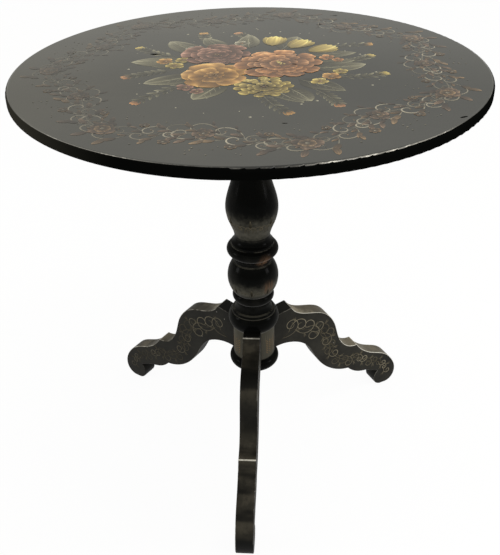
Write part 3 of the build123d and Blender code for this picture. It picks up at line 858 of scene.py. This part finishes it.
def border_unit(paint, kind):
    """One scroll unit on a strip: along the ring, and outwards from the border's middle."""
    seed, swing, petals, radius = {
        "floret": (5, BORDER_SWING, 7, 18 * MM),
        "leaf": (9, -BORDER_SWING, 5, 15 * MM),
    }[kind]
    art = Painting(seed)
    half_length = 0.5 * math.pi * paint.border_radius / paint.border_pairs
    along = np.linspace(-half_length, half_length, 50)
    border_scrolls(art, paint, np.column_stack([along, swing * np.cos(0.5 * math.pi * along / half_length)]))
    art.layer = 12
    art.floret((0.0, swing), radius, petals, paint.russet, paint.gilt, turn=0.3)
    art.layer = 16
    art.floret((0.0, swing), 0.6 * radius, petals, paint.gold, paint.gilt)
    for side in (-1, 1):
        spot = (side * 0.62 * half_length, -swing)
        art.floret(spot, 7 * MM, 5, dimmed(paint.gold, 0.8), paint.gilt, turn=side)
    reach = (half_length, BORDER_HALF_WIDTH)
    for _ in range(26):
        at = art.random.uniform(dimmed(reach, -1), reach)
        art.dot(at, art.random.uniform(0.6, 1.3) * MM, paint.gilt, tone=art.random.uniform(0.1, 0.5))
    return art


# Bouquet

# Rings of petals from the outside in, in shares of the flower's radius: count, root, length, width
PEONY = (
    (10, 0.52, 0.50, 0.50), (9, 0.36, 0.46, 0.46), (8, 0.22, 0.42, 0.40), (6, 0.10, 0.36, 0.36),
    (5, 0.0, 0.26, 0.30),
)
CAMELLIA = ((8, 0.46, 0.54, 0.62), (7, 0.28, 0.48, 0.54), (6, 0.12, 0.42, 0.46), (5, 0.0, 0.32, 0.36))
POPPY = ((5, 0.06, 0.94, 1.0), (5, 0.02, 0.64, 0.72), (9, 0.02, 0.26, 0.10))
RANUNCULUS = ((11, 0.56, 0.46, 0.36), (10, 0.40, 0.42, 0.34), (9, 0.26, 0.36, 0.30), (7, 0.10, 0.32, 0.28))


def blossom(art, at, radius, rings, colour, heart, turn):
    """A full flower, from its outer ring of petals to its heart."""
    base = art.layer
    for n, (count, *shares) in enumerate(rings):
        root, length, width = dimmed(shares, radius)
        art.ring(at, count, root, length, width, colour, turn + 0.4 * n, tone=-0.04 * n, belly=1.7, glow=2.2)
    for _ in range(7):
        art.dot(np.array(at) + 0.06 * radius * art.random.normal(size=2), 0.035 * radius, heart)
    # The next flower covers the outer two rings of this one
    art.layer = base + 6


def tulip(art, at, heading, length, colour):
    """A closed tulip seen from its side."""
    base = art.layer
    for n, lean in enumerate((-0.34, 0.34, -0.15, 0.15, 0.0)):
        art.layer = base + n
        art.petal(at, heading + lean, length * (1 - 0.25 * abs(lean)), 0.36 * length, colour, belly=0.95,
                  tip=0.66, tone=0.12 * n - 0.3)
    art.layer = base


def leaf(art, at, heading, length, colour, bend):
    """A dark leaf with a pale edge, midrib and side veins."""
    art.petal(at, heading, length, 0.5 * length, colour, belly=0.85, tip=0.75, bend=bend, rim=0.45)
    forward = arrow(heading)
    t = np.linspace(0.02, 0.94, 12)[:, None]
    rib = np.array(at) + length * (t * forward + bend * t**2 * right_of(forward))
    art.layer += 1
    art.stroke(rib, 0.024 * length, colour)
    for k in (2, 4, 6, 8):
        for side in (-1, 1):
            vein = curl_line(rib[k], heading + side * 0.75, 0.22 * length, -side * 0.4, points=8)
            art.stroke(vein, 0.014 * length, colour, tone=-0.2)
    art.layer -= 1


def spray(art, at, heading, length, bend, paint):
    """A thin stem with small leaves on both sides. Returns its end and its heading there."""
    line = curl_line(at, heading, length, bend)
    art.stroke(line, 1.3 * MM, paint.sage, tone=-0.2)
    for k in range(8, STROKE_POINTS, 3):
        turn = heading + bend * k / STROKE_POINTS
        for side in (-1, 1):
            art.petal(line[k], turn + side * 0.7, 17 * MM, 5.5 * MM, paint.sage, belly=0.9, tip=0.8,
                      tone=art.random.uniform(-0.3, 0.3))
    return line[-1], heading + bend


def bud(art, at, heading, length, colour, paint):
    """A bud with two sepals."""
    for lean in (-0.35, 0.35, 0.0):
        tone = -0.2 * abs(lean)
        art.petal(at, heading + lean, length, 0.55 * length, colour, belly=1.0, tip=0.6, tone=tone)
        art.layer += 1
    for lean in (-0.5, 0.5):
        art.petal(at, heading + lean, 0.65 * length, 0.2 * length, paint.sage, belly=0.9, tip=0.8)
    art.layer -= 3


def bouquet_leaves(paint):
    """Sprays with buds, and leaves, behind the flowers: place in mm, heading in degrees, length in mm."""
    art = Painting(seed=21)
    for x, y, heading, length, bend, colour in (
        (-60, -60, 214, 118, 0.5, paint.coral), (74, 70, 40, 112, -0.6, paint.orange),
        (100, -36, 340, 92, 0.8, paint.yellow), (-100, 44, 168, 86, -0.6, paint.yellow),
        (6, 96, 96, 78, 0.6, paint.coral), (20, -96, 280, 92, 0.5, paint.orange),
        (-50, 88, 126, 84, -0.4, paint.orange), (84, -84, 316, 78, -0.5, paint.coral),
        (118, 20, 10, 66, 0.6, paint.yellow), (-96, -14, 196, 80, 0.3, paint.coral),
    ):
        end, turn = spray(art, (x * MM, y * MM), math.radians(heading), length * MM, bend, paint)
        art.layer = 1
        bud(art, end, turn, 16 * MM, colour, paint)
        art.layer = 0
    for n, (x, y, heading, length) in enumerate((
        (-72, 66, 148, 88), (-90, 24, 186, 92), (-70, -36, 218, 86), (-34, -70, 252, 78), (36, -86, 292, 76),
        (74, -56, 326, 80), (92, -6, 2, 82), (84, 46, 30, 80), (44, 82, 66, 78), (-6, 92, 98, 74),
        (-46, 88, 122, 70), (60, -92, 308, 60), (-100, 0, 170, 60), (98, 22, 16, 60),
    )):
        art.layer = 4 + 2 * (n % 2)
        colour, bend = dimmed(paint.sage, art.random.uniform(0.75, 1.15)), art.random.uniform(-0.25, 0.25)
        leaf(art, (x * MM, y * MM), math.radians(heading), length * MM, colour, bend)
    return art


def bouquet_flowers(paint):
    """The flowers, from the outside of the bouquet to its middle: places and sizes in mm."""
    art = Painting(seed=33)
    art.layer = 9
    for x, y, size, colour in (
        (-112, 2, 15, paint.yellow), (-130, 24, 13, paint.orange), (-104, 30, 12, paint.yellow),
        (120, -42, 15, paint.orange), (104, -64, 13, paint.yellow), (134, -20, 11, paint.yellow),
        (-84, -92, 13, paint.pink), (-66, -108, 11, paint.pink), (-20, 118, 13, paint.cream),
        (-96, 86, 13, paint.cream), (116, 46, 12, paint.coral), (132, 34, 10, paint.coral),
    ):
        art.floret((x * MM, y * MM), size * MM, 5, colour, paint.gold, turn=0.06 * x)
    for x, y, heading in ((88, 74, 35), (30, 104, 85), (60, 92, 60)):
        tulip(art, (x * MM, y * MM), math.radians(heading), 54 * MM, paint.yellow)
        art.layer += 5
    art.layer = 12
    for x, y, radius, rings, colour, heart, turn in (
        (26, -88, 42, RANUNCULUS, paint.yellow, paint.gold, 0.0),
        (-54, 58, 56, CAMELLIA, paint.pink, paint.gold, 0.1),
        (-48, -40, 54, POPPY, paint.orange, paint.gold, 0.6),
        (46, 14, 66, PEONY, paint.coral, paint.yellow, 0.2),
    ):
        blossom(art, (x * MM, y * MM), radius * MM, rings, colour, heart, turn)
    return art


def face_chips():
    """Dark slivers where the lacquer has chipped: place and size in mm, heading in degrees."""
    art = Painting(seed=41)
    for x, y, size, heading in (
        (-290, 57, 7, 20), (-136, 54, 15, 165), (-28, 233, 6, 0), (101, 230, 9, 10), (130, 288, 6, 0),
        (54, -221, 5, 0), (276, -199, 8, 30),
    ):
        art.petal((x * MM, y * MM), math.radians(heading), 1.6 * size * MM, 0.45 * size * MM, CHIP_BLACK,
                  belly=1.0, tip=0.7, tone=-0.5, rim=0.0)
    return art


# Gilding of the base

# The line that the scrolls of a leg follow in its side view: distance from the column's axis, height
LEG_STEM = (
    (0.048, 0.200), (0.072, 0.216), (0.102, 0.206), (0.128, 0.200), (0.145, 0.178), (0.155, 0.150),
    (0.170, 0.118), (0.194, 0.100), (0.220, 0.094), (0.246, 0.078), (0.272, 0.066), (0.292, 0.048),
    (0.300, 0.026),
)
STEM_POINTS = 120
# Heights on the vase and the ball where their ornament starts, and how often it comes round the column
VASE_SCROLL_Z, BALL_STROKE_Z = 0.455, 0.331
VASE_COPIES, BALL_COPIES = 7, 9


def leg_scrolls(paint):
    """Spirals along the side of a leg, in its side view, smaller towards the foot."""
    art = Painting(seed=13)
    stem = smooth_line(LEG_STEM, STEM_POINTS)
    headings = headings_along(stem)
    art.stroke(stem, 0.9 * MM, paint.gilt, blunt=0.8, tone=-0.35)
    for n, k in enumerate(range(2, STEM_POINTS - 4, 5)):
        side = 1 if n % 2 else -1
        length = (155 - 0.8 * k) * MM * art.random.uniform(0.8, 1.05)
        turn = side * art.random.uniform(8.0, 10.0)
        art.layer = 3 * (n % 4) + 1
        line = curl_line(stem[k], headings[k] + side * 0.7, length, 0.0, -turn, sharpness=0.45, points=44)
        art.stroke(line, 1.3 * MM, paint.gilt, blunt=0.6, tone=art.random.uniform(-0.35, 0.1))
        for lean in (0.5, 0.9):
            tick = curl_line(line[8], headings[k] + side * lean, 12 * MM, side * 0.8, points=8)
            art.stroke(tick, 1.4 * MM, paint.gilt, blunt=0.2, tone=-0.2)
    return art


def drum_sprig(paint):
    """Gilt strokes on the drum between two legs: upright lines above a spray of leaves."""
    art = Painting(seed=17)
    for u in np.linspace(-15 * MM, 15 * MM, 7):
        top = COLUMN_FOOT_Z + (54 + 4 * art.random.random()) * MM
        foot = top - (24 + 6 * art.random.random()) * MM
        line = np.column_stack([np.full(10, u), np.linspace(foot, top, 10)])
        art.stroke(line, 0.7 * MM, paint.gilt, tone=-0.2)
    for level in np.linspace(8 * MM, 34 * MM, 6):
        for side in (-1, 1):
            for start in (0, 7 * MM):
                root = (side * start, COLUMN_FOOT_Z + level)
                line = curl_line(root, math.pi / 2 - side * 0.9, 11 * MM, side * 0.5, points=9)
                art.stroke(line, 0.9 * MM, paint.gold)
    return art


def vase_scroll(paint):
    """Faint gilt hooks on the lower part of the vase, on both sides of a small leaf."""
    art = Painting(seed=19)
    colour = dimmed(paint.gilt, 0.55)
    leaf_foot = (0.0, VASE_SCROLL_Z + 8 * MM)
    art.petal(leaf_foot, math.pi / 2, 20 * MM, 4.5 * MM, colour, belly=1.0, tip=0.8, tone=-0.1)
    for side in (-1, 1):
        for start, length, curl in ((3 * MM, 60 * MM, 9.5), (8 * MM, 40 * MM, -8.0)):
            root, heading = (side * start, VASE_SCROLL_Z), math.pi / 2 - side * 0.25
            line = curl_line(root, heading, length, 0.0, -side * curl, sharpness=0.9)
            art.stroke(line, 1.6 * MM, colour, blunt=0.5, tone=-0.1)
    return art


def ball_strokes(paint):
    """Faint hooks on the lower part of the ball, on both sides of a small leaf."""
    art = Painting(seed=23)
    colour = dimmed(paint.gilt, 0.35)
    for side in (-1, 1):
        root, heading = (side * 3 * MM, BALL_STROKE_Z + 1 * MM), math.pi / 2 - side * 0.35
        line = curl_line(root, heading, 30 * MM, 0.0, -side * 7.5, sharpness=1.2)
        art.stroke(line, 1.2 * MM, colour, blunt=0.5)
    art.petal((0.0, BALL_STROKE_Z), math.pi / 2, 16 * MM, 4 * MM, colour, belly=1.0, tip=0.8)
    return art


# Studio

FLOOR_REACH = 8.0


def studio_world():
    """A pale sky, dimmer in a belt above the horizon."""
    world = bpy.data.worlds.new("studio")
    world.use_nodes = True
    g = Graph(world.node_tree)
    direction = g.node("ShaderNodeTexCoord").outputs["Generated"]
    sky = g.node("ShaderNodeValToRGB", {"Fac": g.axes(direction)["Z"]})
    stops = sky.color_ramp.elements
    stops[0].position, stops[0].color = 0.0, (0.62, 0.614, 0.564, 1)
    stops[1].position, stops[1].color = 1.0, (0.87, 0.865, 0.83, 1)
    for position, level in ((0.26, 0.62), (0.32, 0.54), (0.43, 0.88)):
        stops.new(position).color = (level, 0.99 * level, 0.91 * level, 1)
    g.feed(world.node_tree.nodes["Background"].inputs["Color"], sky.outputs["Color"])
    bpy.context.scene.world = world


def floor_finish(colour):
    """Pale floor that reads as white to the camera and in reflections, and keeps a soft shadow."""
    made, g, shader = new_material("studio_floor", specular=0.0)
    where, _ = g.coords()
    finish_shader(g, shader, g.mix(g.noise(where, 3.0), dimmed(colour, 0.99), colour), 0.9)
    path = g.node("ShaderNodeLightPath").outputs
    mirrored = g.math("MAXIMUM", path["Is Glossy Ray"], path["Is Transmission Ray"])
    seen = g.math("MAXIMUM", path["Is Camera Ray"], mirrored)
    white = g.node("ShaderNodeEmission", {"Color": (1, 1, 1, 1), "Strength": 1.0})
    inputs = {0: g.times(seen, 0.95), 1: shader.outputs[0], 2: white.outputs[0]}
    blend = g.node("ShaderNodeMixShader", inputs)
    g.feed(made.node_tree.nodes["Material Output"].inputs["Surface"], blend.outputs[0])
    return made


def area_lamp(name, place, aim, size, power):
    """A soft square lamp that looks at a point."""
    data = bpy.data.lights.new(name, "AREA")
    data.size = size
    data.energy = power
    lamp = new_object(name, data)
    lamp.location = place
    lamp.rotation_euler = (Vector(aim) - Vector(place)).to_track_quat("-Z", "Y").to_euler()


def photo_camera(studio):
    """The camera, where it was fitted to the photograph."""
    data = bpy.data.cameras.new("photo_camera")
    data.sensor_width = 36.0
    data.lens = studio.lens
    camera = new_object("photo_camera", data)
    camera.matrix_world = (
        Matrix.Translation(studio.camera_place)
        @ Matrix.Rotation(studio.camera_heading, 4, "Z")
        @ Matrix.Rotation(math.pi / 2 - studio.camera_dip, 4, "X")
        @ Matrix.Rotation(studio.camera_roll, 4, "Z")
    )
    bpy.context.scene.camera = camera


# Operators


class TABLE_OT_effects(bpy.types.Operator):
    """Build the shared shader effects and the geometry trees"""

    bl_idname = "table.effects"
    bl_label = "Shared effects"

    def execute(self, context):
        for build in (wear_effect, arris_effect, varnish_effect, grain_effect, ring_tree, dots_tree):
            build()
        return {"FINISHED"}


class TABLE_OT_lacquer(bpy.types.Operator):
    """Finish the top, the column and the legs in lacquer"""

    bl_idname = "table.lacquer"
    bl_label = "Lacquer"

    def execute(self, context):
        lacquer = context.scene.table_lacquer
        wear_finish(top_lacquer(lacquer, context.scene.table_fittings), ["tabletop"])
        wear_finish(column_lacquer(lacquer), ["column", "bottom_boss"])
        for name in LEGS:
            wear_finish(leg_lacquer(name, lacquer), [name])
        return {"FINISHED"}


class TABLE_OT_fittings(bpy.types.Operator):
    """Finish the battens, the block, the hinge and the bolt"""

    bl_idname = "table.fittings"
    bl_label = "Fittings"

    def execute(self, context):
        fittings = context.scene.table_fittings
        wear_finish(plain_wood("batten_wood", fittings.stained, "Y"), ["batten_left", "batten_right"])
        wear_finish(plain_wood("block_wood", fittings.stained, "X"), ["pivot_block"])
        wear_finish(plain_wood("wedge_wood", fittings.wedge, "X"), ["tenon_wedge"])
        brass = old_metal("old_brass", fittings.brass, BRASS_TARNISH, 0.55)
        iron = old_metal("old_iron", fittings.iron, IRON_RUST, 0.5)
        slots = {p["node"]: p["material_slot"] for p in frame["record"]["subparts"]}
        for metal, slot in ((brass, "brass"), (iron, "iron")):
            wear_finish(metal, [node for node, worn in slots.items() if worn == slot])
        return {"FINISHED"}


class TABLE_OT_border(bpy.types.Operator):
    """Paint the scroll border round the top"""

    bl_idname = "table.border"
    bl_label = "Scroll border"

    def execute(self, context):
        paint = context.scene.table_paint
        finish = paint_finish("border_paint", gloss=True, fainter_back_left=0.6)
        pairs, place = paint.border_pairs, on_ring(paint.border_radius)
        for n, kind in enumerate(("floret", "leaf")):
            turn = BORDER_FIRST_TURN + n * math.pi / pairs
            piece = repeated(f"border_{kind}_units", border_unit(paint, kind), finish, pairs, turn, place)
            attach(piece, "top")
        return {"FINISHED"}


class TABLE_OT_bouquet(bpy.types.Operator):
    """Paint the bouquet in the middle of the top"""

    bl_idname = "table.bouquet"
    bl_label = "Bouquet"

    def execute(self, context):
        paint = context.scene.table_paint
        finish = paint_finish("bouquet_paint", gloss=True)
        bare = paint_finish("bare_chips", gloss=False)
        middle = on_top(paint.bouquet_scale)
        pieces = [
            painted_piece("bouquet_leaves", bouquet_leaves(paint), finish, middle),
            painted_piece("bouquet_flowers", bouquet_flowers(paint), finish, middle),
            painted_piece("face_chips", face_chips(), bare, on_top()),
            self.scattered_dots(paint, finish),
        ]
        for piece in pieces:
            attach(piece, "top")
        return {"FINISHED"}

    def scattered_dots(self, paint, finish):
        """Dabs scattered over a ring round the flowers."""
        inner, outer, sides = 0.125, 0.205, 48
        angles = np.linspace(0, 2 * math.pi, sides, endpoint=False)
        rim = np.column_stack([np.cos(angles), np.sin(angles), np.zeros(sides)])
        points = np.concatenate([rim * inner, rim * outer]) + np.array([0, 0, TOP_Z])
        quads = [(k, sides + k, sides + (k + 1) % sides, (k + 1) % sides) for k in range(sides)]
        mesh = bpy.data.meshes.new("dots_sheet")
        mesh.from_pydata(points.tolist(), [], quads)
        art = Painting(seed=29)
        art.dot((0.0, 0.0), 1.9 * MM, paint.cream)
        dab = painted_piece("dab", art, finish, np.array)
        area = math.pi * (outer**2 - inner**2)
        values = {"Motif": dab, "Density": paint.dots / area, "Finish": finish}
        piece = grown("bouquet_dots", "Scatter dabs", values, seed_mesh=mesh)
        bpy.data.objects.remove(dab)
        return piece


class TABLE_OT_gilding(bpy.types.Operator):
    """Paint the gilt scrolls on the legs and the column"""

    bl_idname = "table.gilding"
    bl_label = "Gilding of the base"

    def execute(self, context):
        paint = context.scene.table_paint
        finish = paint_finish("base_gilding", gloss=False, fainter_back_left=0.72)
        count, front = len(LEGS), math.radians(LEGS["leg_front"][0])
        leg_sides = (on_leg_side(-1), on_leg_side(1))
        for name, art, copies, turn, places in (
            ("leg_scrolls", leg_scrolls(paint), count, front, leg_sides),
            ("drum_sprigs", drum_sprig(paint), count, front + math.pi / count, (on_drum,)),
            ("vase_scrolls", vase_scroll(paint), VASE_COPIES, front, (on_column,)),
            ("ball_strokes", ball_strokes(paint), BALL_COPIES, front, (on_column,)),
        ):
            piece = repeated(name, art, finish, copies, turn, *places)
            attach(piece, "base")
        return {"FINISHED"}


class TABLE_OT_studio(bpy.types.Operator):
    """Set up the floor, the light and the camera"""

    bl_idname = "table.studio"
    bl_label = "Studio"

    def execute(self, context):
        studio = context.scene.table_studio
        context.scene.view_settings.view_transform = "Standard"
        mesh = bpy.data.meshes.new("studio_floor")
        corners = [(x * FLOOR_REACH, y * FLOOR_REACH, 0) for x, y in ((-1, -1), (1, -1), (1, 1), (-1, 1))]
        mesh.from_pydata(corners, [], [(0, 1, 2, 3)])
        mesh.materials.append(floor_finish(studio.floor))
        floor = new_object("studio_floor", mesh)
        studio_world()
        area_lamp("overhead_lamp", (1.0, -0.10, 2.5), (0, 0, 0.6), 0.65, studio.lamp)
        for name, x in (("left_lamp", -1.5), ("right_lamp", 1.5)):
            area_lamp(name, (x, -0.35, 0.75), (0, 0, 0.4), 0.4, studio.side_lamps)
        photo_camera(studio)
        return {"FINISHED"}


OPERATORS = (
    TABLE_OT_effects,
    TABLE_OT_lacquer,
    TABLE_OT_fittings,
    TABLE_OT_border,
    TABLE_OT_bouquet,
    TABLE_OT_gilding,
    TABLE_OT_studio,
)


class TABLE_PT_sidebar(bpy.types.Panel):
    """Settings and steps of the table"""

    bl_idname = "TABLE_PT_sidebar"
    bl_label = "Tilt-top table"
    bl_space_type = "VIEW_3D"
    bl_region_type = "UI"
    bl_category = "Table"

    def draw(self, context):
        for name, group in SETTINGS.items():
            box = self.layout.box()
            for setting in group.__annotations__:
                box.prop(getattr(context.scene, name), setting)
        for operator in OPERATORS:
            self.layout.operator(operator.bl_idname)


CLASSES = (*SETTINGS.values(), *OPERATORS, TABLE_PT_sidebar)


def register():
    for cls in CLASSES:
        bpy.utils.register_class(cls)
    for name, group in SETTINGS.items():
        setattr(bpy.types.Scene, name, bpy.props.PointerProperty(type=group))


def unregister():
    for name in SETTINGS:
        delattr(bpy.types.Scene, name)
    for cls in reversed(CLASSES):
        bpy.utils.unregister_class(cls)


def main():
    register()
    for operator in OPERATORS:
        family, name = operator.bl_idname.split(".")
        getattr(getattr(bpy.ops, family), name)()


if __name__ == "__main__":
    main()
